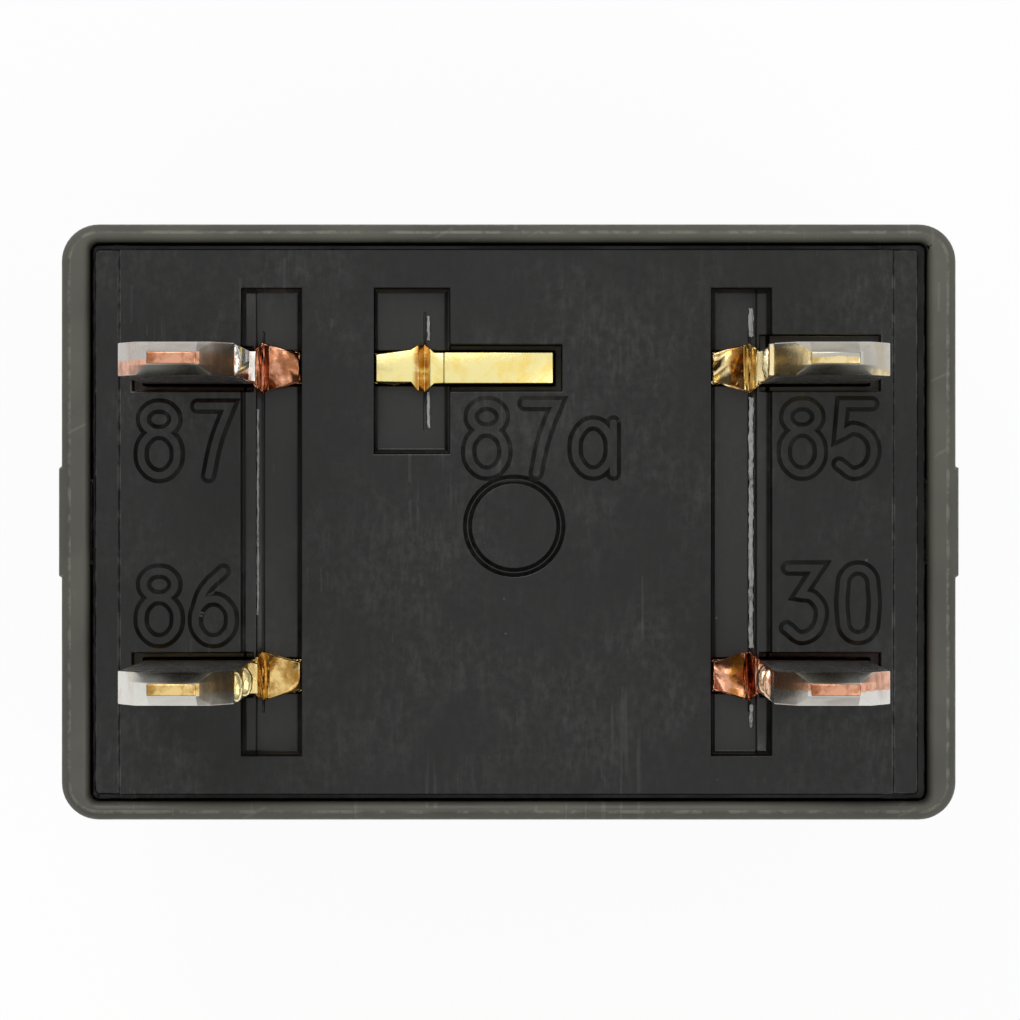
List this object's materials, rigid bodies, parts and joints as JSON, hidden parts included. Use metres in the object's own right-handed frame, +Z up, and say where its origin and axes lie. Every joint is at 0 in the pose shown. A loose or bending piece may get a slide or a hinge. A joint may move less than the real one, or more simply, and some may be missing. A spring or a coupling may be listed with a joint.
{
  "type": "automotive relay",
  "caption": "Boxy plug-in relay for vehicles, with flat blade terminals staked in its base, a snapped-on plastic cover and a hinged armature that closes the contacts.",
  "frame": {"origin": "centre of the closed end of the cover, on the surface that it stands on", "axes": "+Z up along the blades, out of the base; +X along the long side, from terminals 86 and 87 towards 85 and 30; +Y towards the row with terminals 87, 87a and 85"},
  "size_m": [0.023, 0.0152, 0.0364],
  "materials": {
    "cover_plastic": "fine satin texture, dark olive grey",
    "base_plastic": "satin, near black",
    "plated_copper": "tin-plated copper, bare at the cut edges",
    "plated_brass": "tin-plated brass, bare at the cut edges",
    "contact_silver": "bright silver alloy",
    "spring_bronze": "rolled bronze strip",
    "plated_iron": "soft iron, nickel-plated",
    "rivet_steel": "satin",
    "bobbin_plastic": "glass-filled nylon, satin",
    "enamelled_wire": "gloss enamel on copper wire",
    "tape": "amber polyester film",
    "resistor_lacquer": "lacquered body on tinned leads",
    "solder": "bright solder"
  },
  "bodies": {
    "housing": {"cover": "cover_plastic", "base": "base_plastic", "terminal_30": "plated_copper", "terminal_85": "plated_brass", "terminal_86": "plated_brass", "terminal_87": "plated_copper", "terminal_87a": "plated_brass", "contact_87": "contact_silver", "contact_87a": "contact_silver", "yoke": "plated_iron", "yoke_rivets": "rivet_steel", "core": "plated_iron", "bobbin": "bobbin_plastic", "coil_winding": "enamelled_wire", "coil_tape": "tape", "suppression_resistor": "resistor_lacquer", "solder_joints": "solder"},
    "armature": {"armature": "plated_iron", "armature_rivets": "rivet_steel", "moving_contact": "contact_silver", "contact_leaf": "spring_bronze"}
  },
  "joints": [
    {"name": "armature_pivot", "type": "hinge", "parent": "housing", "child": "armature", "pos_m": [0.0087, 0, 0.00524], "axis": [0, 1, 0], "range_deg": [0, 2.8], "stiffness_Nm_per_rad": 0.008, "springref_deg": -2.86, "deforming": ["contact_leaf"]}
  ]
}
